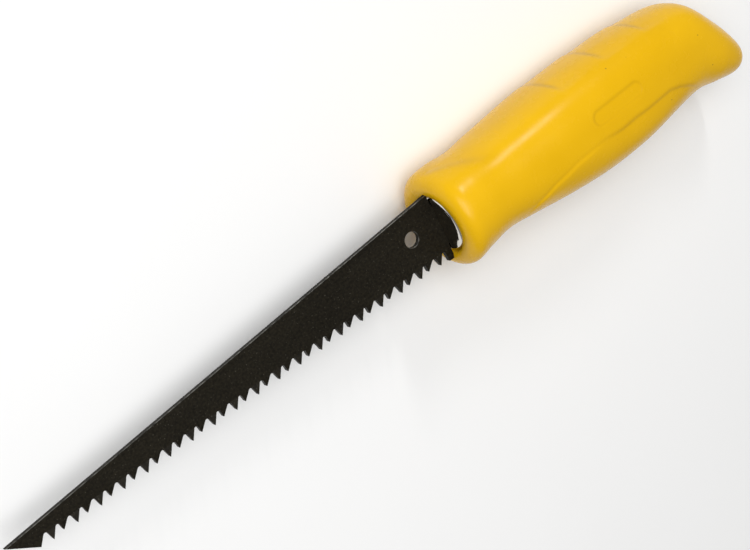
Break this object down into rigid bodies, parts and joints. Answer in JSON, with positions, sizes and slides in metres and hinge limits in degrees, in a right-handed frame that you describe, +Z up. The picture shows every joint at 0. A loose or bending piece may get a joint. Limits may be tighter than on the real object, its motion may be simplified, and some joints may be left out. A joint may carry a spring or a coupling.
{
  "type": "drywall saw",
  "caption": "Hand saw for plasterboard: a stiff, pointed, tapering toothed blade with a hanging hole, in a chunky moulded handle with a hooked tail.",
  "frame": {"origin": "below the middle of the whole saw, on the surface that its handle's side lies on", "axes": "+X from the handle to the blade's point, +Y from the spine to the teeth, +Z up, square to the blade's flat face"},
  "size_m": [0.2658, 0.0348, 0.0322],
  "materials": {
    "blade_steel": "black-coated steel, satin",
    "ferrule_chrome": "bright chrome plate",
    "core_plastic": "matt moulded plastic",
    "rivet_steel": "plain steel",
    "handle_plastic": "glossy moulded plastic"
  },
  "bodies": {
    "root": {"blade": "blade_steel", "ferrule": "ferrule_chrome", "core_upper": "core_plastic", "core_lower": "core_plastic", "front_rivet": "rivet_steel", "rear_rivet": "rivet_steel", "handle": "handle_plastic"}
  },
  "joints": []
}
